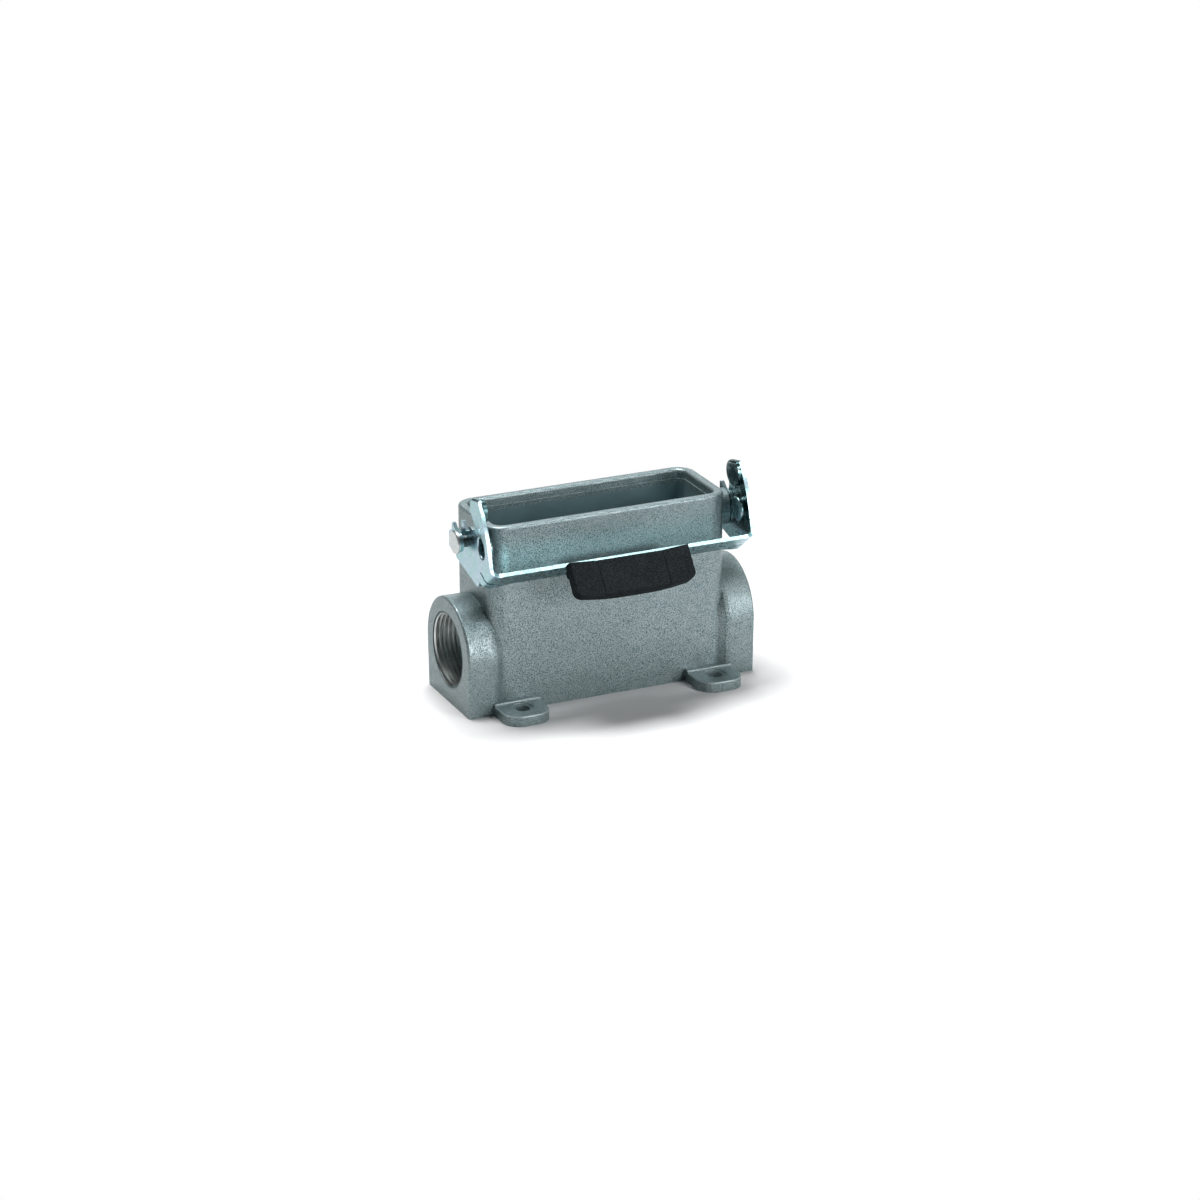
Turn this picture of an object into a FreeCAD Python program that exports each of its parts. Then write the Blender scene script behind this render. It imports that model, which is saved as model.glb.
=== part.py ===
import FreeCAD, Part
import math
import os

# Surface-mounting base housing of a heavy-duty rectangular connector, with one locking lever.
# The casting stands on its open bottom. X runs along the housing, from one cable entry to the
# other, and the lever's bar hangs in front of it, on the -Y side. The origin is the middle of
# the mounting plane. All sizes are in millimetres and all angles in degrees.

V = FreeCAD.Vector

# Collar, which the mating hood slides onto
COLLAR_LENGTH = 82.5
COLLAR_WIDTH = 31.3
COLLAR_HEIGHT = 61.8
COLLAR_CORNER_R = 6.2
END_WALL = 3.4
SIDE_WALL = 3.2
CAVITY_CORNER_R = 3.2
RIM_OUTER_ROUND = 0.9
RIM_INNER_ROUND = 0.9
RIM_BAND_DEPTH = 3.0
RIM_BAND_STEP = 0.3

# Cable chamber under the contact insert
CHAMBER_HEIGHT = 32.0
CHAMBER_SIDE_WALL = 3.0
CHAMBER_END_WALL = 3.2

# Posts that the insert is screwed to
INSERT_PITCH_X = 66.0
INSERT_PITCH_Y = 16.0
POST_R = 3.3
POST_TOP_DEPTH = 15.0
INSERT_SCREW_R = 1.25
INSERT_SCREW_DEPTH = 9.0

# Cable entry bosses
ENTRY_REACH = 8.75
ENTRY_AXIS_Z = 17.7
ENTRY_BOSS_R = 17.35
ENTRY_BOSS_BASE_WIDTH = 33.7
ENTRY_BORE_R = 12.5
ENTRY_ROOT_INSET = 0.05
ENTRY_BLEND_LENGTH = 4.6
ENTRY_BLEND_DROP = 1.9
ENTRY_BLEND_STEPS = 4
ENTRY_EDGE_ROUND = 0.7

# Fixing feet
FOOT_PITCH_X = 67.4
FOOT_PITCH_Y = 43.6
FOOT_WIDTH = 15.6
FOOT_REACH = 7.4
FOOT_HEIGHT = 3.4
FOOT_CORNER_R = 5.6
FOOT_HOLE_R = 2.4
FOOT_SEAT_R = 3.6
FOOT_SEAT_DEPTH = 0.4
FOOT_EDGE_ROUND = 0.4
FOOT_LEDGE_HEIGHT = 4.1
FOOT_LEDGE_DEPTH = 2.3
FOOT_LEDGE_CHAMFER = 0.4

# Lever pivot, where the pins stand in cast bosses on the end walls
PIVOT_Y = -6.2
PIVOT_BELOW_RIM = 5.9
PIVOT_BOSS_R = 4.2
PIVOT_BOSS_LENGTH = 2.95
PIVOT_BOSS_DROP = 3.6
PIN_R = 2.0
PIN_HEAD_R = 3.75
PIN_HEAD_THICKNESS = 0.9
PIN_SEAT_DEPTH = 6.0
PIN_CHAMFER = 0.25
PIN_RUNNING_CLEARANCE = 0.05
LEVER_SIDE_GAP = 0.2
PIN_HEAD_GAP = 0.1

# Lever sheet; every y and z of the lever and its grip is taken from the pivot, lever open
SHEET = 1.2
BEND_INNER_R = 1.6
BAR_TOP = (-19.5, -5.0)
BAR_TILT = 38.0
BAR_WIDTH = 8.8
GUSSET_WIDTH = 10.4
GUSSET_START = 6.3
GUSSET_FULL = 1.8
SLIT_DROP = 6.4
SLIT_WIDTH = 0.7
SLIT_TIP = 2.8
SLIT_END = (-11.4, -6.7)

# Arm outline
FRONT_BOW = (-16.7, 6.4)
FRONT_BOW_STRAIGHT = 0.7
PRONG_FRONT_Y = -10.1
PRONG_REAR_Y = -3.5
PRONG_HOOK_Z = 10.9
PRONG_HOOK_R = 1.5
JAW_CORNER = (-7.7, 6.3)
JAW_CORNER_R = 0.9
FINGER_ROOT = (0.0, 3.0)
FINGER_ROOT_R = 0.6
FINGER_TIP = (3.0, 5.5)
FINGER_TIP_WIDTH = 0.8
FINGER_TIP_ROUND = 0.25
ARM_TAIL = (8.8, -5.9)
ARM_TAIL_R = 0.8
ARM_LOW_Z = -8.3
ARM_LOW_R = 1.2
LOBE_BOTTOM = (-9.2, -12.8)
LOBE_BOTTOM_R = 1.8

# Ear folded flat against the inside of each arm, with the line that it is folded on
EAR_R = 4.4
EAR_Y = -7.6
EAR_Z = 12.0
FOLD_FRONT_Z = 15.3
FOLD_SLOPE = 11.0
FOLD_FRONT_ROUND = 0.8
FOLD_REAR_ROUND = 2.4

# Locking dimple drawn into each arm
DIMPLE_Y = -11.8
DIMPLE_Z = 1.1
DIMPLE_LENGTH = 8.2
DIMPLE_WIDTH = 6.2
DIMPLE_WALL = 0.7
DIMPLE_DEPTH = 1.8
DIMPLE_LEAN = 28.0
DIMPLE_LIP_ROUND = 0.4
DIMPLE_NOSE_ROUND = 0.5

# Cheek, turned outwards round the arm's rear edge to hold the outer end of the pin
CHEEK_REACH = 3.3
CHEEK_R = 3.3
CHEEK_BEND_Y = 5.8
CHEEK_LOW_Z = -3.3
CHEEK_HIGH_Z = 1.5

# Grip, a slab that leans out and is clipped round the bar's lower edge
GRIP_LENGTH = 41.0
GRIP_TOP = (-22.6, -3.7)
GRIP_LEAN = 38.0
GRIP_DROP = 11.4
GRIP_BOW = 1.5
GRIP_TOP_THICKNESS = 3.5
GRIP_FOOT_THICKNESS = 4.4
GRIP_FOOT_ROUND = 1.5
GRIP_CORNER_R = 2.8
GRIP_EDGE_ROUND = 0.5
GRIP_TOP_DIP = 0.7
GRIP_GROOVE_X = 11.2
GRIP_GROOVE_WIDTH = 0.35
GRIP_GROOVE_DEPTH = 0.25
GRIP_CLIP_LENGTH = 34.0
GRIP_CLIP_ROOT_DROP = 8.0
GRIP_CLIP_WALL = 1.0
GRIP_CLIP_HOLD = 1.3

# Places that follow from the sizes above
ENTRY_FACE_X = COLLAR_LENGTH / 2 + ENTRY_REACH
ENTRY_INNER_X = COLLAR_LENGTH / 2 - ENTRY_ROOT_INSET
PIVOT_Z = COLLAR_HEIGHT - PIVOT_BELOW_RIM
PIVOT_BOSS_FACE_X = COLLAR_LENGTH / 2 + PIVOT_BOSS_LENGTH
ARM_INNER_X = PIVOT_BOSS_FACE_X + LEVER_SIDE_GAP
ARM_OUTER_X = ARM_INNER_X + SHEET
EAR_INNER_X = ARM_INNER_X - SHEET
BEND_START_X = ARM_INNER_X - BEND_INNER_R
CHEEK_OUTER_X = ARM_OUTER_X + CHEEK_REACH
CHEEK_INNER_X = CHEEK_OUTER_X - SHEET
PIN_HEAD_INNER_X = CHEEK_OUTER_X + PIN_HEAD_GAP
PIN_HEAD_OUTER_X = PIN_HEAD_INNER_X + PIN_HEAD_THICKNESS
PIN_ROOT_X = PIVOT_BOSS_FACE_X - PIN_SEAT_DEPTH
OVERRUN = 1.0


def direction(angle):
    """Unit vector in the YZ plane, from the +Y axis towards +Z."""
    a = math.radians(angle)
    return V(0, math.cos(a), math.sin(a))


def outline(corners, place):
    """Closed wire through flat corners (a, b, radius), each corner rounded by its radius."""
    count = len(corners)
    points = [V(a, b, 0) for a, b, radius in corners]
    ends = []
    for i, corner in enumerate(corners):
        here = points[i]
        back = (points[i - 1] - here).normalize()
        ahead = (points[(i + 1) % count] - here).normalize()
        if corner[2] <= 0:
            ends.append((here, here, here))
            continue
        half = back.getAngle(ahead) / 2
        trim = corner[2] / math.tan(half)
        middle = (back + ahead).normalize() * (corner[2] / math.sin(half) - corner[2])
        ends.append((here + back * trim, here + middle, here + ahead * trim))
    edges = []
    for i in range(count):
        start, middle, stop = ends[i]
        following = ends[(i + 1) % count][0]
        if corners[i][2] > 0:
            edges.append(Part.Arc(place(start), place(middle), place(stop)).toShape())
        if stop.distanceToPoint(following) > 1e-6:
            edges.append(Part.LineSegment(place(stop), place(following)).toShape())
    return Part.Wire(edges)


def plan_prism(corners, low, high):
    """Prism that stands on the plane z = low, from corners given as (x, y, radius)."""
    wire = outline(corners, lambda p: V(p.x, p.y, low))
    return Part.Face(wire).extrude(V(0, 0, high - low))


def side_prism(corners, start, stop):
    """Prism along X, from corners given as (y, z, radius)."""
    wire = outline(corners, lambda p: V(start, p.x, p.y))
    return Part.Face(wire).extrude(V(stop - start, 0, 0))


def rounded_block(length, width, radius, low, high):
    x, y = length / 2, width / 2
    corners = [(-x, -y, radius), (x, -y, radius), (x, y, radius), (-x, y, radius)]
    return plan_prism(corners, low, high)


def rod_x(radius, y, z, start, stop):
    return Part.makeCylinder(radius, stop - start, V(start, y, z), V(1, 0, 0))


def rod_z(radius, x, y, low, high):
    return Part.makeCylinder(radius, high - low, V(x, y, low))


def mirrored_x(shape):
    return shape.mirror(V(0, 0, 0), V(1, 0, 0))


def both_ends(shape):
    return [shape, mirrored_x(shape)]


def four_places(pitch_x, pitch_y):
    return [(sx * pitch_x / 2, sy * pitch_y / 2) for sx in (-1, 1) for sy in (-1, 1)]


def edges_between(shape, low, high):
    """Edges that lie wholly inside the box given by two corners."""
    box = FreeCAD.BoundBox(low, high)
    return [edge for edge in shape.Edges if box.isInside(edge.BoundBox)]


# Housing casting

def entry_outline(x, shrink):
    """Wire of an entry boss seen along X: flat foot, straight flanks and a round top."""
    radius = ENTRY_BOSS_R - shrink
    base = ENTRY_BOSS_BASE_WIDTH / 2 - shrink
    left, right = V(x, -radius, ENTRY_AXIS_Z), V(x, radius, ENTRY_AXIS_Z)
    foot_left, foot_right = V(x, -base, 0), V(x, base, 0)
    return Part.Wire([
        Part.LineSegment(foot_left, foot_right).toShape(),
        Part.LineSegment(foot_right, right).toShape(),
        Part.Arc(right, V(x, 0, ENTRY_AXIS_Z + radius), left).toShape(),
        Part.LineSegment(left, foot_left).toShape(),
    ])


def entry_boss():
    """Boss of the +X cable entry, blended into the long walls at its inner end."""
    boss = Part.Face(entry_outline(ENTRY_INNER_X, 0)).extrude(V(ENTRY_FACE_X - ENTRY_INNER_X, 0, 0))
    face_edges = [edge for edge in boss.Edges
                  if edge.BoundBox.XMin > ENTRY_FACE_X - 0.01 and edge.BoundBox.ZMax > 0.01]
    boss = boss.makeFillet(ENTRY_EDGE_ROUND, face_edges)
    sections = []
    for step in range(ENTRY_BLEND_STEPS + 1):
        share = step / ENTRY_BLEND_STEPS
        drop = ENTRY_BLEND_DROP * (1 - math.cos(math.pi * share)) / 2
        sections.append(entry_outline(ENTRY_INNER_X - ENTRY_BLEND_LENGTH * share, drop))
    return boss.fuse(Part.makeLoft(sections, True, True))


def foot_pair(x):
    """One bar across the housing that carries a front and a rear foot."""
    half = FOOT_WIDTH / 2
    tip = FOOT_PITCH_Y / 2 + FOOT_REACH
    corners = [(x - half, -tip, FOOT_CORNER_R), (x + half, -tip, FOOT_CORNER_R),
               (x + half, tip, FOOT_CORNER_R), (x - half, tip, FOOT_CORNER_R)]
    plate = plan_prism(corners, 0, FOOT_HEIGHT)
    top_edges = [edge for edge in plate.Edges if edge.BoundBox.ZMin > FOOT_HEIGHT - 0.01]
    plate = plate.makeFillet(FOOT_EDGE_ROUND, top_edges)
    ledge_y = COLLAR_WIDTH / 2 + FOOT_LEDGE_DEPTH
    ledge = Part.makeBox(FOOT_WIDTH, 2 * ledge_y, FOOT_LEDGE_HEIGHT, V(x - half, -ledge_y, 0))
    ledge_edges = [edge for edge in ledge.Edges
                   if edge.BoundBox.ZMin > FOOT_LEDGE_HEIGHT - 0.01 and edge.BoundBox.XLength > 1]
    return plate.fuse(ledge.makeChamfer(FOOT_LEDGE_CHAMFER, ledge_edges))


def pivot_boss():
    """Boss that the +X pin is pressed into, drawn out downwards to an oval."""
    front, rear = PIVOT_Y - PIVOT_BOSS_R, PIVOT_Y + PIVOT_BOSS_R
    low, high = PIVOT_Z - PIVOT_BOSS_DROP - PIVOT_BOSS_R, PIVOT_Z + PIVOT_BOSS_R
    corners = [(front, low, PIVOT_BOSS_R), (rear, low, PIVOT_BOSS_R),
               (rear, high, PIVOT_BOSS_R), (front, high, PIVOT_BOSS_R)]
    return side_prism(corners, COLLAR_LENGTH / 2 - OVERRUN, PIVOT_BOSS_FACE_X)


def cavity():
    """Room for the contact insert, open at the rim, and the cable chamber, open at the bottom."""
    length = COLLAR_LENGTH - 2 * END_WALL
    width = COLLAR_WIDTH - 2 * SIDE_WALL
    insert_room = rounded_block(length, width, CAVITY_CORNER_R, CHAMBER_HEIGHT - OVERRUN,
                                COLLAR_HEIGHT + OVERRUN)
    band = rounded_block(length + 2 * RIM_BAND_STEP, width + 2 * RIM_BAND_STEP, CAVITY_CORNER_R,
                         COLLAR_HEIGHT - RIM_BAND_DEPTH, COLLAR_HEIGHT + OVERRUN)
    chamber = rounded_block(COLLAR_LENGTH - 2 * CHAMBER_END_WALL,
                            COLLAR_WIDTH - 2 * CHAMBER_SIDE_WALL, CAVITY_CORNER_R,
                            -OVERRUN, CHAMBER_HEIGHT)
    posts = []
    for x, y in four_places(INSERT_PITCH_X, INSERT_PITCH_Y):
        out_x = math.copysign(COLLAR_LENGTH / 2, x)
        out_y = math.copysign(COLLAR_WIDTH / 2, y)
        in_x = x - math.copysign(POST_R, x)
        in_y = y - math.copysign(POST_R, y)
        corners = [(in_x, in_y, POST_R), (out_x, in_y, 0), (out_x, out_y, 0), (in_x, out_y, 0)]
        posts.append(plan_prism(corners, CHAMBER_HEIGHT - OVERRUN, COLLAR_HEIGHT - POST_TOP_DEPTH))
    return insert_room.fuse(band).cut(posts).fuse(chamber)


def housing():
    """One casting: collar, two entry bosses, four feet and two pivot bosses."""
    shell = rounded_block(COLLAR_LENGTH, COLLAR_WIDTH, COLLAR_CORNER_R, 0, COLLAR_HEIGHT)
    top_edges = [edge for edge in shell.Edges if edge.BoundBox.ZMin > COLLAR_HEIGHT - 0.01]
    shell = shell.makeFillet(RIM_OUTER_ROUND, top_edges)
    added = both_ends(entry_boss()) + both_ends(pivot_boss())
    added += [foot_pair(side * FOOT_PITCH_X / 2) for side in (-1, 1)]
    shell = shell.fuse(added).cut(cavity())

    rim_edges = [edge for edge in edges_between(
        shell, V(-COLLAR_LENGTH / 2, -COLLAR_WIDTH / 2, COLLAR_HEIGHT - 0.01),
        V(COLLAR_LENGTH / 2, COLLAR_WIDTH / 2, COLLAR_HEIGHT + 0.01))
        if max(abs(edge.BoundBox.XMin), abs(edge.BoundBox.XMax))
        < COLLAR_LENGTH / 2 - RIM_OUTER_ROUND - 0.01
        and max(abs(edge.BoundBox.YMin), abs(edge.BoundBox.YMax))
        < COLLAR_WIDTH / 2 - RIM_OUTER_ROUND - 0.01]
    shell = shell.makeFillet(RIM_INNER_ROUND, rim_edges)

    seat_z = FOOT_HEIGHT - FOOT_SEAT_DEPTH
    bores = both_ends(rod_x(ENTRY_BORE_R, 0, ENTRY_AXIS_Z,
                            COLLAR_LENGTH / 2 - CHAMBER_END_WALL - OVERRUN, ENTRY_FACE_X + OVERRUN))
    bores += both_ends(rod_x(PIN_R, PIVOT_Y, PIVOT_Z, PIN_ROOT_X, PIVOT_BOSS_FACE_X + OVERRUN))
    for x, y in four_places(FOOT_PITCH_X, FOOT_PITCH_Y):
        bores.append(rod_z(FOOT_HOLE_R, x, y, -OVERRUN, FOOT_HEIGHT + OVERRUN))
        bores.append(rod_z(FOOT_SEAT_R, x, y, seat_z, FOOT_HEIGHT + OVERRUN))
    post_top = COLLAR_HEIGHT - POST_TOP_DEPTH
    for x, y in four_places(INSERT_PITCH_X, INSERT_PITCH_Y):
        bores.append(rod_z(INSERT_SCREW_R, x, y, post_top - INSERT_SCREW_DEPTH, post_top + OVERRUN))
    return shell.cut(bores).removeSplitter()


# Lever, one piece of folded sheet

def bar_frame():
    """Top edge of the bar, the way across its width and the way from bar to arm."""
    top = V(0, BAR_TOP[0], BAR_TOP[1])
    across = direction(-BAR_TILT)
    inward = direction(90 - BAR_TILT)
    return top, across, inward


def bend(start, stop):
    """Quarter turn from bar to arm, between two distances across the bar from its top edge."""
    top, across, inward = bar_frame()
    centre = top + V(BEND_START_X, 0, 0) + inward * BEND_INNER_R + across * start
    rays = [inward * -1, (V(1, 0, 0) - inward).normalize(), V(1, 0, 0)]
    outer = [centre + ray * (BEND_INNER_R + SHEET) for ray in rays]
    inner = [centre + ray * BEND_INNER_R for ray in rays]
    wire = Part.Wire([
        Part.Arc(*outer).toShape(),
        Part.LineSegment(outer[2], inner[2]).toShape(),
        Part.Arc(*inner[::-1]).toShape(),
        Part.LineSegment(inner[0], outer[0]).toShape(),
    ])
    return Part.Face(wire).extrude(across * (stop - start))


def bar_half():
    """Flat of the bar from its middle to the bend, wider at the end, where the slit runs out."""
    top, across, inward = bar_frame()
    slit_low = SLIT_DROP + SLIT_WIDTH
    corners = [(0, 0), (BEND_START_X, 0), (BEND_START_X, SLIT_DROP),
               (BEND_START_X - SLIT_TIP, (SLIT_DROP + slit_low) / 2), (BEND_START_X, slit_low),
               (BEND_START_X, GUSSET_WIDTH), (BEND_START_X - GUSSET_FULL, GUSSET_WIDTH),
               (BEND_START_X - GUSSET_START, BAR_WIDTH), (0, BAR_WIDTH)]
    points = [top - inward * SHEET + V(x, 0, 0) + across * drop for x, drop in corners]
    flat = Part.Face(Part.makePolygon(points + points[:1])).extrude(inward * SHEET)
    return flat.fuse([bend(0, SLIT_DROP), bend(slit_low, GUSSET_WIDTH)])


def rounding(corner, before, after, straight):
    """Largest radius that leaves some of the shorter side of a corner straight."""
    here = V(corner[0], corner[1], 0)
    back = V(before[0], before[1], 0) - here
    ahead = V(after[0], after[1], 0) - here
    return (min(back.Length, ahead.Length) - straight) * math.tan(back.getAngle(ahead) / 2)


def fold_line():
    """Front end of the line that the ear is folded on, and its direction to the rear."""
    return V(0, PRONG_FRONT_Y, FOLD_FRONT_Z), direction(-FOLD_SLOPE)


def arm_plate():
    """Flat of the +X arm, with the prong, the jaw, the finger and the lobe beside the bend."""
    top, across, inward = bar_frame()
    bend_top = top + inward * BEND_INNER_R
    slit_top = bend_top + across * SLIT_DROP
    strip_top = slit_top + across * SLIT_WIDTH
    strip_low = bend_top + across * GUSSET_WIDTH
    slit_low = V(0, SLIT_END[0], SLIT_END[1]) + across * SLIT_WIDTH
    fold_front, rearward = fold_line()
    fold_rear = fold_front + rearward * ((PRONG_REAR_Y - PRONG_FRONT_Y) / rearward.y)
    bow_r = rounding(FRONT_BOW, (bend_top.y, bend_top.z), (fold_front.y, fold_front.z),
                     FRONT_BOW_STRAIGHT)
    corners = [
        (bend_top.y, bend_top.z, 0),
        (FRONT_BOW[0], FRONT_BOW[1], bow_r),
        (fold_front.y, fold_front.z, 0),
        (fold_rear.y, fold_rear.z, 0),
        (PRONG_REAR_Y, PRONG_HOOK_Z, PRONG_HOOK_R),
        (JAW_CORNER[0], JAW_CORNER[1], JAW_CORNER_R),
        (FINGER_ROOT[0], FINGER_ROOT[1], FINGER_ROOT_R),
        (FINGER_TIP[0], FINGER_TIP[1], FINGER_TIP_ROUND),
        (FINGER_TIP[0] + FINGER_TIP_WIDTH, FINGER_TIP[1], FINGER_TIP_ROUND),
        (FINGER_TIP[0] + FINGER_TIP_WIDTH, CHEEK_HIGH_Z, 0),
        (CHEEK_BEND_Y, CHEEK_HIGH_Z, 0),
        (CHEEK_BEND_Y, CHEEK_LOW_Z, 0),
        (ARM_TAIL[0], ARM_TAIL[1], ARM_TAIL_R),
        (ARM_TAIL[0], ARM_LOW_Z, ARM_LOW_R),
        (LOBE_BOTTOM[0], LOBE_BOTTOM[1], LOBE_BOTTOM_R),
        (strip_low.y, strip_low.z, 0),
        (strip_top.y, strip_top.z, 0),
        (slit_low.y, slit_low.z, 0),
        (SLIT_END[0], SLIT_END[1], 0),
        (slit_top.y, slit_top.z, 0),
    ]
    return side_prism(corners, ARM_INNER_X, ARM_OUTER_X)


def ear():
    """Round ear folded flat against the arm's inside, with the fold along the prong's top."""
    front, rearward = fold_line()
    upward = direction(90 - FOLD_SLOPE)
    crest = front + upward * SHEET
    disc = rod_x(EAR_R, EAR_Y, EAR_Z, EAR_INNER_X, ARM_INNER_X)
    reach = (PRONG_REAR_Y - PRONG_FRONT_Y) / rearward.y
    far = crest + rearward * reach
    rear = front + rearward * reach
    below = upward * EAR_R
    fold = side_prism([
        ((front - below).y, (front - below).z, 0),
        (crest.y, crest.z, FOLD_FRONT_ROUND),
        (far.y, far.z, FOLD_REAR_ROUND),
        ((rear - below).y, (rear - below).z, 0),
    ], EAR_INNER_X, ARM_OUTER_X)
    start = front - rearward * EAR_R
    left, right = V(EAR_INNER_X, 0, 0), V(ARM_OUTER_X, 0, 0)
    depth = upward * (3 * EAR_R)
    section = Part.Wire([
        Part.Arc(start + left, start + V(ARM_INNER_X, 0, 0) + upward * SHEET, start + right).toShape(),
        Part.LineSegment(start + right, start + right - depth).toShape(),
        Part.LineSegment(start + right - depth, start + left - depth).toShape(),
        Part.LineSegment(start + left - depth, start + left).toShape(),
    ])
    rounded_top = Part.Face(section).extrude(rearward * (reach + 2 * EAR_R))
    return disc.fuse(fold).common(rounded_top)


def dimple_prism(inset, start, stop):
    """Oval prism of the drawn dimple, made smaller all round by inset."""
    centre = V(start, DIMPLE_Y, DIMPLE_Z)
    along = direction(90 - DIMPLE_LEAN) * (DIMPLE_LENGTH / 2 - inset)
    across = direction(-DIMPLE_LEAN) * (DIMPLE_WIDTH / 2 - inset)
    ring = Part.Ellipse(centre + along, centre + across, centre).toShape()
    return Part.Face(Part.Wire([ring])).extrude(V(stop - start, 0, 0))


def cheek():
    """Sheet turned out and forward round the arm's rear edge, with a second finger on it."""
    outer_r = (CHEEK_OUTER_X - ARM_INNER_X) / 2
    middle_x = CHEEK_OUTER_X - outer_r
    bend = rod_z(outer_r, middle_x, CHEEK_BEND_Y, CHEEK_LOW_Z, CHEEK_HIGH_Z)
    bend = bend.cut(rod_z(outer_r - SHEET, middle_x, CHEEK_BEND_Y, CHEEK_LOW_Z, CHEEK_HIGH_Z))
    bend = bend.cut(Part.makeBox(2 * outer_r, outer_r, CHEEK_HIGH_Z - CHEEK_LOW_Z,
                                 V(ARM_INNER_X, CHEEK_BEND_Y - outer_r, CHEEK_LOW_Z)))
    disc = rod_x(CHEEK_R, 0, 0, CHEEK_INNER_X, CHEEK_OUTER_X)
    plate = side_prism([
        (0, -CHEEK_R, 0),
        (0, 0, 0),
        (FINGER_ROOT[0], FINGER_ROOT[1], 0),
        (FINGER_TIP[0], FINGER_TIP[1], FINGER_TIP_ROUND),
        (FINGER_TIP[0] + FINGER_TIP_WIDTH, FINGER_TIP[1], FINGER_TIP_ROUND),
        (FINGER_TIP[0] + FINGER_TIP_WIDTH, CHEEK_HIGH_Z, 0),
        (CHEEK_BEND_Y, CHEEK_HIGH_Z, 0),
        (CHEEK_BEND_Y, CHEEK_LOW_Z, 0),
    ], CHEEK_INNER_X, CHEEK_OUTER_X)
    return bend.fuse([disc, plate])


def lever():
    """One piece of folded sheet: bar, two bends and two arms."""
    plate = arm_plate()
    nose = dimple_prism(0, ARM_INNER_X - DIMPLE_DEPTH, ARM_INNER_X + OVERRUN / 2)
    nose_edges = [edge for edge in nose.Edges
                  if edge.BoundBox.XMax < ARM_INNER_X - DIMPLE_DEPTH + 0.01]
    arm = plate.fuse([ear(), cheek(), nose.makeFillet(DIMPLE_NOSE_ROUND, nose_edges)])
    arm = arm.cut(dimple_prism(DIMPLE_WALL, ARM_INNER_X - DIMPLE_DEPTH + DIMPLE_WALL,
                               ARM_OUTER_X + OVERRUN))
    mouth = edges_between(arm, V(ARM_OUTER_X - 0.01, DIMPLE_Y - DIMPLE_LENGTH / 2,
                                 DIMPLE_Z - DIMPLE_LENGTH / 2),
                          V(ARM_OUTER_X + 0.01, DIMPLE_Y + DIMPLE_LENGTH / 2,
                            DIMPLE_Z + DIMPLE_LENGTH / 2))
    arm = arm.makeFillet(DIMPLE_LIP_ROUND, mouth)
    eye = rod_x(PIN_R + PIN_RUNNING_CLEARANCE, 0, 0, ARM_INNER_X - OVERRUN,
                CHEEK_OUTER_X + OVERRUN)
    half = bar_half().fuse(arm.cut(eye))
    return half.fuse(mirrored_x(half)).removeSplitter()


# Grip, one plastic moulding

def grip_point(drop, depth, x=0.0):
    """Point of the grip, by its distance down the face, its depth behind the face and its x."""
    top = V(x, GRIP_TOP[0], GRIP_TOP[1])
    return top + direction(-90 - GRIP_LEAN) * drop + direction(-GRIP_LEAN) * depth


def grip_face():
    """Silhouette of the slab seen square to its face, in front of the face by the overrun."""
    half = GRIP_LENGTH / 2
    corner = GRIP_CORNER_R
    nick = corner * (1 - math.sqrt(0.5))

    def at(x, drop):
        return grip_point(drop, -OVERRUN, x)

    def line(a, b):
        return Part.LineSegment(a, b).toShape()

    def arc(a, b, c):
        return Part.Arc(a, b, c).toShape()

    low = GRIP_DROP
    dip = GRIP_TOP_DIP
    edges = [line(at(-half, 0), at(-GRIP_GROOVE_X, dip)),
             line(at(-GRIP_GROOVE_X, dip), at(GRIP_GROOVE_X, dip)),
             line(at(GRIP_GROOVE_X, dip), at(half, 0)),
             line(at(half, 0), at(half, low - corner)),
             arc(at(half, low - corner), at(half - nick, low - nick), at(half - corner, low)),
             arc(at(half - corner, low), at(0, low + GRIP_BOW), at(corner - half, low)),
             arc(at(corner - half, low), at(nick - half, low - nick), at(-half, low - corner)),
             line(at(-half, low - corner), at(-half, 0))]
    return Part.Face(Part.Wire(edges))


def grip_clip():
    """Hook behind the slab that holds the bar's lower edge and leaves its top edge free."""
    top, across, inward = bar_frame()
    hold = top + across * (BAR_WIDTH - GRIP_CLIP_HOLD)
    heel = top + across * (BAR_WIDTH + GRIP_CLIP_WALL)
    depth = GRIP_TOP_THICKNESS - GRIP_GROOVE_DEPTH
    points = [grip_point(GRIP_TOP_DIP, depth), hold, hold + inward * GRIP_CLIP_WALL,
              heel + inward * GRIP_CLIP_WALL, heel - inward * (SHEET + GRIP_CLIP_WALL),
              grip_point(GRIP_CLIP_ROOT_DROP, depth)]
    half = GRIP_CLIP_LENGTH / 2
    return side_prism([(p.y, p.z, 0) for p in points], -half, half)


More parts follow.
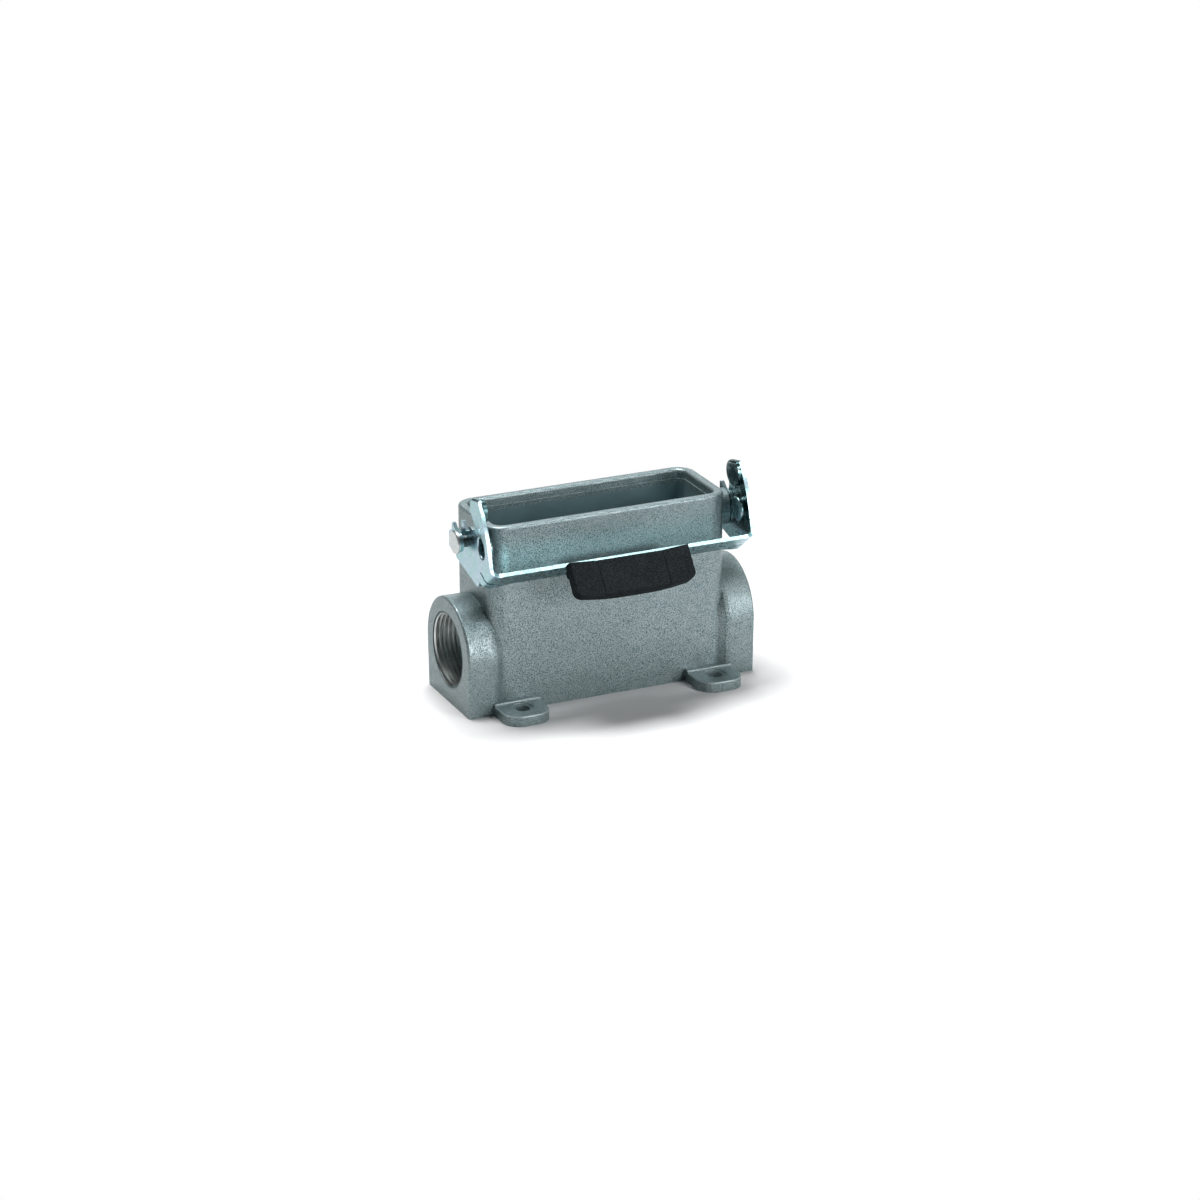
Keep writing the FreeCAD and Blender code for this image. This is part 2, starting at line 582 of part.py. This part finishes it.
def grip(lever_sheet):
    """Slab that leans away from the housing, with two grooves down its face."""
    low = GRIP_DROP + GRIP_BOW
    section = [(grip_point(0, 0), 0), (grip_point(low, 0), GRIP_FOOT_ROUND),
               (grip_point(low, GRIP_FOOT_THICKNESS), GRIP_FOOT_ROUND),
               (grip_point(0, GRIP_TOP_THICKNESS), 0)]
    half = GRIP_LENGTH / 2
    slab = side_prism([(p.y, p.z, radius) for p, radius in section], -half, half)
    inward = direction(-GRIP_LEAN)
    slab = slab.common(grip_face().extrude(inward * (GRIP_FOOT_THICKNESS + 2 * OVERRUN)))
    behind = GRIP_FOOT_THICKNESS + OVERRUN
    ends = outline([(-half, 0, GRIP_EDGE_ROUND), (half, 0, GRIP_EDGE_ROUND), (half, behind, 0),
                    (-half, behind, 0)], lambda p: grip_point(-OVERRUN, p.y, p.x))
    downward = direction(-90 - GRIP_LEAN)
    slab = slab.common(Part.Face(ends).extrude(downward * (low + 2 * OVERRUN)))
    for x in (-GRIP_GROOVE_X, GRIP_GROOVE_X):
        a, b = x - GRIP_GROOVE_WIDTH / 2, x + GRIP_GROOVE_WIDTH / 2
        corners = [grip_point(-OVERRUN, -OVERRUN, a), grip_point(-OVERRUN, -OVERRUN, b),
                   grip_point(-OVERRUN, GRIP_GROOVE_DEPTH, b), grip_point(-OVERRUN, GRIP_GROOVE_DEPTH, a)]
        groove = Part.Face(Part.makePolygon(corners + corners[:1]))
        slab = slab.cut(groove.extrude(downward * (low + 2 * OVERRUN)))
    return slab.fuse(grip_clip()).cut(lever_sheet).removeSplitter()


# Pivot pins, turned and pressed into the casting

def pivot_pin():
    shank = rod_x(PIN_R, PIVOT_Y, PIVOT_Z, PIN_ROOT_X, PIN_HEAD_INNER_X)
    head = rod_x(PIN_HEAD_R, PIVOT_Y, PIVOT_Z, PIN_HEAD_INNER_X, PIN_HEAD_OUTER_X)
    rim = [edge for edge in head.Edges if edge.BoundBox.XMin > PIN_HEAD_OUTER_X - 0.01]
    return shank.fuse(head.makeChamfer(PIN_CHAMFER, rim)).removeSplitter()


def build():
    sheet = lever()
    pin = pivot_pin()
    pivot = V(0, PIVOT_Y, PIVOT_Z)
    return {
        "housing": housing(),
        "lever": sheet.translated(pivot),
        "grip": grip(sheet).translated(pivot),
        "pivot_pin_right": pin,
        "pivot_pin_left": mirrored_x(pin),
    }


os.makedirs("parts", exist_ok=True)
for name, shape in build().items():
    print(name, "valid", shape.isValid(), "solids", len(shape.Solids), "volume", round(shape.Volume, 1))
    shape.exportStep("parts/" + name + ".step")
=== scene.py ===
import math

import bmesh
import bpy
from mathutils import Matrix, Vector


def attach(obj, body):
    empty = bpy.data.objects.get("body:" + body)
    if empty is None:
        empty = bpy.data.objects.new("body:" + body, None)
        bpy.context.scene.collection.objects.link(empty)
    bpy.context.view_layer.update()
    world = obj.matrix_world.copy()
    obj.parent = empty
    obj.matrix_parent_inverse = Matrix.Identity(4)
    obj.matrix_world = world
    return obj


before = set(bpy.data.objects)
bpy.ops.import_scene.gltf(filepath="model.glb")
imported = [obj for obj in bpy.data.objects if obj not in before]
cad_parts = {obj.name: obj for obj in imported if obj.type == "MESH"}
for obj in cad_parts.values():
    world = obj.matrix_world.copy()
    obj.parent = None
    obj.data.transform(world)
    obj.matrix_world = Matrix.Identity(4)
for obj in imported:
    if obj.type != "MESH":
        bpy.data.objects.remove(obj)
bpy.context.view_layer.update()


# Housing: an aluminium die casting under grey hammertone enamel. The enamel pulls into fine
# cells of silver flake with dark seams between them. Along the edges of the ledge and the feet
# it is painted lighter as highlight. Inside the collar it is smooth, without flake, and painted
# darker as shade.

class Tone:
    """One value in a finish. Sums and products of tones add their Math nodes."""

    def __init__(self, tree, socket):
        self.tree = tree
        self.socket = socket

    def node(self, kind, settings, sockets, output=0):
        """Output of a new node, which has its settings made before its sockets."""
        made = self.tree.nodes.new(kind)
        for name, value in settings.items():
            setattr(made, name, value)
        for name, value in sockets.items():
            if isinstance(value, Tone):
                self.tree.links.new(value.socket, made.inputs[name])
            else:
                made.inputs[name].default_value = value
        return Tone(self.tree, made.outputs[output])

    def maths(self, operation, *others):
        return self.node("ShaderNodeMath", {"operation": operation},
                         dict(enumerate((self, *others))))

    def vector_maths(self, operation, *others, output=0):
        return self.node("ShaderNodeVectorMath", {"operation": operation},
                         dict(enumerate((self, *others))), output)

    def __add__(self, other):
        return self.maths("ADD", other)

    __radd__ = __add__

    def __mul__(self, other):
        return self.maths("MULTIPLY", other)

    __rmul__ = __mul__

    def __sub__(self, other):
        return self.maths("SUBTRACT", other)

    def __rsub__(self, other):
        return self.node("ShaderNodeMath", {"operation": "SUBTRACT"}, {0: other, 1: self})

    def axis(self, letter):
        return self.node("ShaderNodeSeparateXYZ", {}, {"Vector": self}, letter)

    def ramp(self, low, high):
        """0 below low, 1 above high, and a smooth rise between."""
        return self.node("ShaderNodeMapRange", {"interpolation_type": "SMOOTHSTEP"},
                         {"Value": self, "From Min": low, "From Max": high})

    def blend(self, first, second):
        """Colour that goes from the first to the second as this tone goes from 0 to 1."""
        return self.node("ShaderNodeMix", {"data_type": "RGBA"},
                         {"Factor": self, 6: colour_of(first), 7: colour_of(second)}, 2)


def colour_of(value):
    return value if isinstance(value, Tone) else (*value, 1)


def finish(name, **fixed):
    """New material with fixed shader values, the places on the piece, and its shader."""
    material = bpy.data.materials.new(name)
    material.use_nodes = True
    shader = material.node_tree.nodes["Principled BSDF"]
    for socket, value in fixed.items():
        shader.inputs[socket.replace("_", " ").title().replace("Ior", "IOR")].default_value = value
    places = Tone(material.node_tree, None).node("ShaderNodeTexCoord", {}, {}, "Object")
    return material, places, shader


def link_tones(shader, **tones):
    """Links tones that change over the surface to the shader."""
    for socket, tone in tones.items():
        tone.tree.links.new(tone.socket, shader.inputs[socket.replace("_", " ").title()])


def speckle(places, size, detail=2.0, roughness=0.5):
    """Cloudy noise of lumps about size metres across, turned out of line with the flat faces."""
    turned = places.node("ShaderNodeMapping", {}, {"Vector": places, "Rotation": (0.6, 0.4, 0.9)})
    return places.node("ShaderNodeTexNoise", {}, {"Vector": turned, "Scale": 1 / size,
                                                  "Detail": detail, "Roughness": roughness})


def relief(places, height, distance, strength=1.0):
    return places.node("ShaderNodeBump", {}, {"Height": height, "Distance": distance,
                                              "Strength": strength})


def coat(node, material):
    """Gives a solid of the frame its finish."""
    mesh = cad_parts[node].data
    mesh.materials.clear()
    mesh.materials.append(material)


FLAKE_SIZE = 0.00025
FLAKE_HEIGHT = 0.00011
CLOUD_SIZE = 0.009
ENAMEL_DARK = (0.064, 0.116, 0.128)
ENAMEL_MID = (0.222, 0.312, 0.325)
ENAMEL_LIGHT = (0.500, 0.580, 0.590)
ENAMEL_EDGE_HIGHLIGHT = (0.620, 0.710, 0.720)
INSIDE_SHADE_DARK = (0.150, 0.235, 0.255)
INSIDE_SHADE_LIGHT = (0.1725, 0.27025, 0.29325)
CAVITY_HALF_LENGTH = 0.0385
CAVITY_HALF_WIDTH = 0.0130
CAVITY_TOP_Z = 0.0588
ENAMEL_FADE = 0.0025
FOOT_START_Y = 0.0176
LEDGE_EDGE_Z = 0.0039
FOOT_EDGE_Z = 0.0032
EDGE_HALF_BAND = 0.00018

enamel, places, shader = finish("hammertone_enamel", specular_ior_level=0.15)
cells = speckle(places, FLAKE_SIZE, 1.0, 0.6)
cloud = speckle(places, CLOUD_SIZE, 3.0)
flake = (cells + (cloud - 0.5) * 0.04).ramp(0.40, 0.60)
seams = flake.ramp(0.0, 0.5).blend(ENAMEL_DARK, ENAMEL_MID)
painted = flake.ramp(0.45, 1.0).blend(seams, ENAMEL_LIGHT)

height = places.axis("Z")
either_side = places.vector_maths("ABSOLUTE")
# Band along the top edges of the ledge and the feet, where the enamel is painted lighter as
# highlight.
on_edge = (height.maths("COMPARE", LEDGE_EDGE_Z, EDGE_HALF_BAND)
           + height.maths("COMPARE", FOOT_EDGE_Z, EDGE_HALF_BAND))
edge_highlight_band = on_edge * either_side.axis("Y").maths("GREATER_THAN", FOOT_START_Y)
painted = (edge_highlight_band * (0.4 + flake * 0.6)).blend(painted, ENAMEL_EDGE_HIGHLIGHT)

# Inside the collar the finish is smooth, without flake or bump, and its colour is painted darker
# as shade.
inside_collar = (either_side.axis("X").maths("LESS_THAN", CAVITY_HALF_LENGTH)
          * either_side.axis("Y").maths("LESS_THAN", CAVITY_HALF_WIDTH)
          * (1 - height.ramp(CAVITY_TOP_Z - ENAMEL_FADE, CAVITY_TOP_Z)))
inside_shade = cloud.ramp(0.35, 0.65).blend(INSIDE_SHADE_DARK, INSIDE_SHADE_LIGHT)
link_tones(shader, base_color=inside_collar.blend(painted, inside_shade),
     metallic=(0.32 + flake * 0.20) * (1 - inside_collar) + 0.05,
     roughness=0.38 - flake * 0.12 * (1 - inside_collar),
     normal=relief(places, cells * (1 - inside_collar), FLAKE_HEIGHT, 0.8))
coat("housing", enamel)


# Threads of the two cable entries, M25 with a pitch of 1.5 mm. They are tapped after painting,
# so the ridges are bare aluminium with fine tool marks round them, up to the painted mouth.

THREAD_PITCH = 0.0015
THREAD_ROOT_R = 0.01240
THREAD_CREST_R = 0.01170
THREAD_BACK_R = 0.01246
THREAD_MOUTH_X = 0.04994
THREAD_END_X = 0.03815
THREAD_STEPS = 96
ENTRY_AXIS_Z = 0.0177
PAINT_START_X = THREAD_MOUTH_X - 0.0003
PAINT_FULL_X = THREAD_MOUTH_X - 0.0002
TOOL_MARKS_PER_METRE = (9000, 260, 260)
TOOL_MARK_HEIGHT = 0.00003
STAIN_SIZE = 0.004
ALUMINIUM_DULL = (0.38, 0.41, 0.40)
ALUMINIUM_BRIGHT = (0.66, 0.70, 0.68)

bare_casting, places, shader = finish("tapped_aluminium", specular_ior_level=0.15)
scores = places.node("ShaderNodeMapping", {}, {"Vector": places, "Scale": TOOL_MARKS_PER_METRE})
scores = scores.node("ShaderNodeTexNoise", {}, {"Vector": scores, "Scale": 1.0, "Detail": 2.0})
stain = speckle(places, STAIN_SIZE, 3.0)
cut = (scores * 0.5 + stain * 0.5).ramp(0.3, 0.7).blend(ALUMINIUM_DULL, ALUMINIUM_BRIGHT)
mouth = places.vector_maths("ABSOLUTE").axis("X").ramp(PAINT_START_X, PAINT_FULL_X)
link_tones(shader, base_color=mouth.blend(cut, ENAMEL_DARK), metallic=1 - mouth * 0.8,
     roughness=0.30 + scores * 0.18, normal=relief(places, scores, TOOL_MARK_HEIGHT, 0.5))


def entry_thread(name, side):
    """Tapped sleeve: a zigzag line is wound round the entry's axis and closed at the back."""
    bm = bmesh.new()
    turns = math.ceil((THREAD_MOUTH_X - THREAD_END_X) / THREAD_PITCH) + 2
    root_flat = THREAD_PITCH / 8
    crest_flat = THREAD_PITCH / 4
    flank = THREAD_PITCH * 5 / 16
    profile = []
    for turn in range(turns):
        x = THREAD_END_X - THREAD_PITCH + turn * THREAD_PITCH
        for along, radius in ((0, THREAD_ROOT_R), (root_flat, THREAD_ROOT_R),
                              (root_flat + flank, THREAD_CREST_R),
                              (root_flat + flank + crest_flat, THREAD_CREST_R)):
            profile.append(bm.verts.new((x + along, 0, ENTRY_AXIS_Z + radius)))
    line = [bm.edges.new(pair) for pair in zip(profile, profile[1:])]
    bmesh.ops.spin(bm, geom=profile + line, cent=(0, 0, ENTRY_AXIS_Z), axis=(1, 0, 0),
                   dvec=(THREAD_PITCH / THREAD_STEPS, 0, 0), angle=2 * math.pi, steps=THREAD_STEPS)
    bmesh.ops.remove_doubles(bm, verts=bm.verts, dist=1e-6)
    for x, outward in ((THREAD_END_X, -1), (THREAD_MOUTH_X, 1)):
        bmesh.ops.bisect_plane(bm, geom=bm.verts[:] + bm.edges[:] + bm.faces[:], dist=1e-7,
                               plane_co=(x, 0, 0), plane_no=(outward, 0, 0), clear_outer=True)
    bmesh.ops.triangulate(bm, faces=bm.faces[:])
    rims = [edge for edge in bm.edges if edge.is_boundary]
    back = bmesh.ops.extrude_edge_only(bm, edges=rims)["geom"]
    for vert in [part for part in back if isinstance(part, bmesh.types.BMVert)]:
        spoke = Vector((0, vert.co.y, vert.co.z - ENTRY_AXIS_Z))
        spoke = spoke * (THREAD_BACK_R / spoke.length)
        vert.co.y, vert.co.z = spoke.y, spoke.z + ENTRY_AXIS_Z
    if side < 0:
        bmesh.ops.scale(bm, vec=(-1, 1, 1), verts=bm.verts)
    bmesh.ops.recalc_face_normals(bm, faces=bm.faces[:])
    mesh = bpy.data.meshes.new(name)
    bm.to_mesh(mesh)
    bm.free()
    mesh.materials.append(bare_casting)
    piece = bpy.data.objects.new(name, mesh)
    bpy.context.scene.collection.objects.link(piece)
    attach(piece, "base")


entry_thread("entry_thread_right", 1)
entry_thread("entry_thread_left", -1)


# Locking lever: one strip of zinc-plated sheet steel, folded and bent. The plating is bright
# with a blue passivation that drifts from teal to lavender. Along the bar it is painted darker
# as shade, and the inner side of the arms carries painted reflections in dark and pale patches.

ZINC_TEAL = (0.34, 0.54, 0.56)
ZINC_LAVENDER = (0.40, 0.53, 0.62)
ZINC_PALE = (0.48, 0.62, 0.64)
ZINC_ARM_SHADE = (0.070, 0.130, 0.140)
ZINC_BAR_SHADE = (0.200, 0.300, 0.315)
DRIFTS_PER_METRE = 130.0
ROLLING_LINES_PER_METRE = (900, 900, 90)
BLOOM_SIZE = 0.0016
REFLECTION_PATCH_SIZE = 0.0026
PLATING_HEIGHT = 0.00004
BAR_FADE = 0.003
BEND_START_X = 0.0428
BEND_INSIDE_X = 0.0430
BEND_TOP_Z = 0.0495
ARM_START_Z = 0.0505
ARM_INNER_X = 0.0444
ARM_SHEET_X = 0.0445

zinc, places, shader = finish("blue_zinc_plating", metallic=1.0)
drift = places.node("ShaderNodeTexNoise", {}, {"Vector": places, "Scale": DRIFTS_PER_METRE,
                                               "Detail": 3.0, "Distortion": 1.2})
streak = places.node("ShaderNodeMapping", {}, {"Vector": places, "Scale": ROLLING_LINES_PER_METRE})
streak = streak.node("ShaderNodeTexNoise", {}, {"Vector": streak, "Scale": 1.0, "Detail": 2.0})
bloom = speckle(places, BLOOM_SIZE, 3.0)
tint = drift.ramp(0.42, 0.62).blend(ZINC_TEAL, ZINC_LAVENDER)
plated = (bloom * 0.6 + streak * 0.4).ramp(0.50, 0.72).blend(tint, ZINC_PALE)
along = places.vector_maths("ABSOLUTE").axis("X")
# Along the bar the plating is painted darker, as shade.
bar_shade = bloom.ramp(0.40, 0.75).blend(ZINC_BAR_SHADE, ZINC_TEAL)
plated = along.ramp(BEND_START_X - BAR_FADE, BEND_START_X).blend(bar_shade, plated)
# Inner side of the arms above the bend: dark and pale patches are painted reflections, shade and
# highlight.
arm_reflection_area = (places.axis("Z").ramp(BEND_TOP_Z, ARM_START_Z)
          * along.ramp(BEND_START_X, BEND_INSIDE_X) * (1 - along.ramp(ARM_INNER_X, ARM_SHEET_X)))
arm_reflections = speckle(places, REFLECTION_PATCH_SIZE, 1.0).ramp(0.48, 0.76).blend(ZINC_ARM_SHADE, ZINC_PALE)
link_tones(shader, base_color=arm_reflection_area.blend(plated, arm_reflections),
     roughness=0.20 + bloom * 0.10 + streak * 0.06,
     normal=relief(places, streak * 0.4 + bloom * 0.6, PLATING_HEIGHT, 0.5))
coat("lever", zinc)


# Grip: black glass-filled nylon, moulded with a fine spark-eroded grain that breaks up its
# shine, and clipped onto the bar from below.

NYLON_DARK = (0.003, 0.005, 0.007)
NYLON_LIGHT = (0.016, 0.021, 0.024)
GRAIN_SIZE = 0.00036
GRAIN_HEIGHT = 0.00008
SCUFF_SIZE = 0.006

grip_nylon, places, shader = finish("grained_black_nylon", metallic=0.0, specular_ior_level=0.10)
grain = speckle(places, GRAIN_SIZE, 2.0)
scuff = speckle(places, SCUFF_SIZE, 4.0)
link_tones(shader,
     base_color=(grain * 0.8 + scuff * 0.2).ramp(0.40, 0.60).blend(NYLON_DARK, NYLON_LIGHT),
     roughness=0.46 + scuff * 0.20, normal=relief(places, grain, GRAIN_HEIGHT, 0.5))
coat("grip", grip_nylon)


# Pivot pins: turned steel with a clear zinc finish, pressed into the casting. The flat heads
# keep faint rings from facing, about the pin's own axis, and the shanks are painted dark as shade.

PIN_AXIS_Y = -0.0062
PIN_AXIS_Z = 0.0559
PIN_HEAD_INNER_X = 0.04895
RING_RADIANS_PER_METRE = 26000
RING_HEIGHT = 0.00003
DUST_SIZE = 0.0009
HEAD_DULL = (0.55, 0.60, 0.59)
HEAD_BRIGHT = (0.70, 0.74, 0.73)
SHANK_SHADE_DARK = (0.05, 0.07, 0.075)
SHANK_SHADE_LIGHT = (0.11, 0.14, 0.145)

turned_steel, places, shader = finish("turned_zinc_steel", metallic=1.0)
from_axis = places.vector_maths("SUBTRACT", (0, PIN_AXIS_Y, PIN_AXIS_Z))
from_axis = from_axis.vector_maths("MULTIPLY", (0, 1, 1))
radius = from_axis.vector_maths("LENGTH", output="Value")
rings = (radius * RING_RADIANS_PER_METRE).maths("SINE") * 0.5 + 0.5
dust = speckle(places, DUST_SIZE, 3.0)
spread = dust.ramp(0.3, 0.7)
# The shank, between the head and the arm, is painted dark as shade.
shaded_shank = places.vector_maths("ABSOLUTE").axis("X").maths("LESS_THAN", PIN_HEAD_INNER_X)
link_tones(shader, base_color=shaded_shank.blend(spread.blend(HEAD_DULL, HEAD_BRIGHT),
                                    spread.blend(SHANK_SHADE_DARK, SHANK_SHADE_LIGHT)),
     roughness=0.32 + dust * 0.14,
     normal=relief(places, rings * 0.3 + dust * 0.7, RING_HEIGHT, 0.4))
coat("pivot_pin_right", turned_steel)
coat("pivot_pin_left", turned_steel)


# Studio: a table under pale paper, which shows pure white a little way off from the housing
# and keeps its shadow near it. A large softbox hangs above and behind, a tall one stands in
# front on the right, and two weak ones, high in front and low behind, pick out the edges.

TABLE_HALF = 4.0
WHITE_START = 0.08
WHITE_FULL = 0.20
FIBRE_SIZE = 0.03
PAPER_FOR_BOUNCE = (0.30, 0.30, 0.30), (0.34, 0.34, 0.34)
PAPER_TO_LOOK_AT = (0.73, 0.73, 0.735), (0.76, 0.76, 0.765)
ROOM_LEVEL = 0.05

bm = bmesh.new()
bmesh.ops.create_grid(bm, x_segments=1, y_segments=1, size=TABLE_HALF)
table_mesh = bpy.data.meshes.new("table")
bm.to_mesh(table_mesh)
bm.free()
table = bpy.data.objects.new("table", table_mesh)
bpy.context.scene.collection.objects.link(table)

table_paper, places, shader = finish("table_paper", roughness=0.9, specular_ior_level=0.0)
seen = places.node("ShaderNodeLightPath", {}, {}, "Is Camera Ray")
mirrored = places.node("ShaderNodeLightPath", {}, {}, "Is Glossy Ray")
through = places.node("ShaderNodeLightPath", {}, {}, "Is Transmission Ray")
looked_at = seen.maths("MAXIMUM", mirrored.maths("MAXIMUM", through))
fibre = speckle(places, FIBRE_SIZE, 2.0)
link_tones(shader, base_color=looked_at.blend(fibre.blend(*PAPER_FOR_BOUNCE),
                                        fibre.blend(*PAPER_TO_LOOK_AT)))
lit = Tone(table_paper.node_tree, shader.outputs[0])
white = places.node("ShaderNodeEmission", {}, {"Color": (1, 1, 1, 1), "Strength": 1.0})
far_off = places.vector_maths("LENGTH", output="Value").ramp(WHITE_START, WHITE_FULL)
shown = places.node("ShaderNodeMixShader", {}, {0: looked_at * far_off, 1: lit, 2: white})
table_paper.node_tree.links.new(shown.socket,
                                table_paper.node_tree.nodes["Material Output"].inputs["Surface"])
table_mesh.materials.append(table_paper)

room = bpy.data.worlds.new("studio")
room.use_nodes = True
room.node_tree.nodes["Background"].inputs["Color"].default_value = (1, 1, 1, 1)
room.node_tree.nodes["Background"].inputs["Strength"].default_value = ROOM_LEVEL
bpy.context.scene.world = room


def softbox(name, place, aim, width, height, power):
    lamp = bpy.data.lights.new(name, "AREA")
    lamp.shape = "RECTANGLE"
    lamp.size = width
    lamp.size_y = height
    lamp.energy = power
    holder = bpy.data.objects.new(name, lamp)
    holder.location = place
    holder.rotation_euler = (Vector(aim) - Vector(place)).to_track_quat("-Z", "Y").to_euler()
    bpy.context.scene.collection.objects.link(holder)


softbox("softbox_top", (-0.04, 0.20, 1.10), (0, 0, 0.02), 0.55, 0.36, 18.0)
softbox("softbox_front", (0.60, -1.20, 0.38), (0, 0, 0.03), 0.30, 0.50, 7.4)
softbox("softbox_high", (0.47, -0.67, 0.89), (0, 0, 0.05), 0.34, 0.20, 2.0)
softbox("softbox_back", (0.45, 1.25, 0.50), (0, 0, 0.05), 1.2, 0.4, 2.0)


# Camera: a long lens on a stand, to the left of the housing and a little above it.

CAMERA_AZIMUTH = math.radians(24.51)
CAMERA_HEIGHT_ANGLE = math.radians(20.88)
CAMERA_ROLL = math.radians(-0.14)
CAMERA_DISTANCE = 1.22649
CAMERA_AIM = Vector((0.001767, -0.002803, 0.027235))
CAMERA_REACH = 20
SENSOR_WIDTH = 36.0
LENS = 114.83

lens = bpy.data.cameras.new("camera")
lens.lens = LENS
lens.sensor_width = SENSOR_WIDTH
lens.clip_end = CAMERA_REACH
camera = bpy.data.objects.new("camera", lens)
away = Vector((-math.sin(CAMERA_AZIMUTH) * math.cos(CAMERA_HEIGHT_ANGLE),
               -math.cos(CAMERA_AZIMUTH) * math.cos(CAMERA_HEIGHT_ANGLE),
               math.sin(CAMERA_HEIGHT_ANGLE)))
camera.location = CAMERA_AIM + away * CAMERA_DISTANCE
aimed = (-away).to_track_quat("-Z", "Y").to_matrix() @ Matrix.Rotation(CAMERA_ROLL, 3, "Z")
camera.rotation_euler = aimed.to_euler()
bpy.context.scene.collection.objects.link(camera)
bpy.context.scene.camera = camera
bpy.context.scene.view_settings.view_transform = "Standard"
